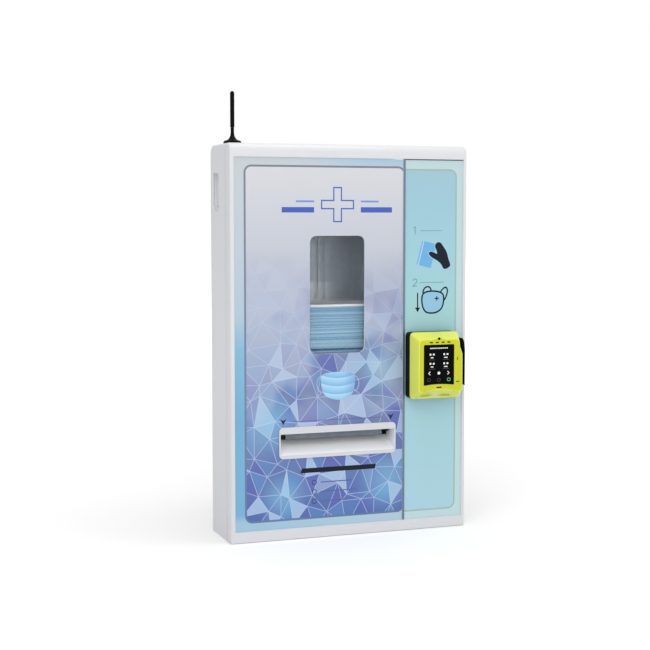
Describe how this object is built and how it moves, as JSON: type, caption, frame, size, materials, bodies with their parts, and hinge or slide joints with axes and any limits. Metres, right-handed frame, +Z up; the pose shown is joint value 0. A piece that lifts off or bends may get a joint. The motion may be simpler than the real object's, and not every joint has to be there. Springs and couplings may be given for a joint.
{
  "type": "wall-mounted face mask vending machine",
  "caption": "Slim wall-mounted face mask vending machine: hinged front door with window, card reader and outlet, hopper with a roller feed, top aerial.",
  "frame": {"origin": "centre of the cabinet's flat bottom, where a shelf or floor would meet it", "axes": "+X right for a person facing the door, +Y toward the wall behind it, +Z up"},
  "size_m": [0.4525, 0.1685, 0.7923],
  "materials": {
    "white_paint": "satin powder coat",
    "zinc_steel": "zinc plated",
    "case_steel": "galvanised",
    "dark_aluminium": "anodised",
    "brass": "machined",
    "bronze": "sintered",
    "printed_board": "printed",
    "teal_board": "printed",
    "clear_acrylic": "clear",
    "white_plastic": "moulded",
    "black_plastic": "moulded",
    "yellow_plastic": "moulded",
    "grey_plastic": "moulded",
    "nylon": "moulded",
    "black_glass": "polished",
    "circuit_board": "solder mask",
    "rubber": "moulded",
    "wrapped_masks": "wrapped packets"
  },
  "bodies": {
    "cabinet": {"rear_cover": "white_paint", "body_wrap": "white_paint", "cable_port_cover": "white_paint", "hinge_arm_lower": "zinc_steel", "hinge_arm_upper": "zinc_steel", "hinge_pin_lower": "zinc_steel", "hinge_pin_upper": "zinc_steel", "lock_barrel": "zinc_steel", "aerial_foot": "black_plastic", "aerial_sleeve": "black_plastic", "hopper_back": "zinc_steel", "hopper_left_wall": "zinc_steel", "hopper_right_wall": "zinc_steel", "hopper_floor": "zinc_steel", "mask_stack": "wrapped_masks", "feed_cheek_left": "zinc_steel", "feed_cheek_right": "zinc_steel", "feed_bush_left": "bronze", "feed_bush_right": "bronze", "exit_bush_left": "bronze", "exit_bush_right": "bronze", "idler_stud": "zinc_steel", "front_guide": "zinc_steel", "chute": "zinc_steel", "motor_bracket": "zinc_steel", "gear_motor": "case_steel", "control_board": "circuit_board", "power_supply": "case_steel"},
    "door": {"door_frame": "white_paint", "main_panel": "printed_board", "window_pane": "clear_acrylic", "strip_panel": "teal_board", "panel_divider": "dark_aluminium", "outlet_bezel": "white_plastic", "reader_housing": "black_plastic", "reader_fascia": "yellow_plastic", "reader_screen": "black_glass", "reader_lens": "black_glass", "swipe_guide": "black_plastic", "card_mouth": "grey_plastic", "door_pivot_lower": "zinc_steel", "door_pivot_upper": "zinc_steel", "door_catch": "zinc_steel"},
    "lock": {"lock_cam": "brass"},
    "follower": {"follower_plate": "white_plastic", "follower_slider": "nylon"},
    "feed_rollers": {"feed_shaft": "zinc_steel", "feed_roller_left": "rubber", "feed_roller_right": "rubber", "feed_gear": "nylon"},
    "idler": {"idler_gear": "nylon"},
    "exit_rollers": {"exit_shaft": "zinc_steel", "exit_roller": "rubber", "exit_gear": "nylon"},
    "pinch": {"pinch_roller": "nylon"},
    "motor_shaft": {"motor_pinion": "brass"}
  },
  "joints": [
    {"name": "door_swing", "type": "hinge", "parent": "cabinet", "child": "door", "pos_m": [-0.219, -0.0515, 0.35], "axis": [0, 0, -1], "range_deg": [0, 95]},
    {"name": "lock_turn", "type": "hinge", "parent": "cabinet", "child": "lock", "pos_m": [0.203, -0.014, 0.35], "axis": [-1, 0, 0], "range_deg": [0, 90]},
    {"name": "follower_lift", "type": "slide", "parent": "cabinet", "child": "follower", "axis": [0, 0, 1], "range_m": [0, 0.12]},
    {"name": "feed_spin", "type": "hinge", "parent": "cabinet", "child": "feed_rollers", "pos_m": [0.0715, 0.008, 0.2353], "axis": [1, 0, 0], "continuous": true},
    {"name": "idler_spin", "type": "hinge", "parent": "cabinet", "child": "idler", "pos_m": [0.0715, -0.01591, 0.22799], "axis": [1, 0, 0], "continuous": true},
    {"name": "exit_spin", "type": "hinge", "parent": "cabinet", "child": "exit_rollers", "pos_m": [0.0715, -0.03503, 0.22214], "axis": [1, 0, 0], "continuous": true},
    {"name": "pinch_spin", "type": "hinge", "parent": "cabinet", "child": "pinch", "pos_m": [0.0715, -0.04953, 0.22214], "axis": [1, 0, 0], "continuous": true},
    {"name": "motor_spin", "type": "hinge", "parent": "cabinet", "child": "motor_shaft", "pos_m": [0.0715, 0.02143, 0.22187], "axis": [1, 0, 0], "continuous": true}
  ],
  "couplings": [
    {"joint": "idler_spin", "follows": "feed_spin", "ratio": -1.0833},
    {"joint": "exit_spin", "follows": "feed_spin", "ratio": 1.625},
    {"joint": "motor_spin", "follows": "feed_spin", "ratio": -2.1667},
    {"joint": "pinch_spin", "follows": "feed_spin", "ratio": -2.925}
  ]
}
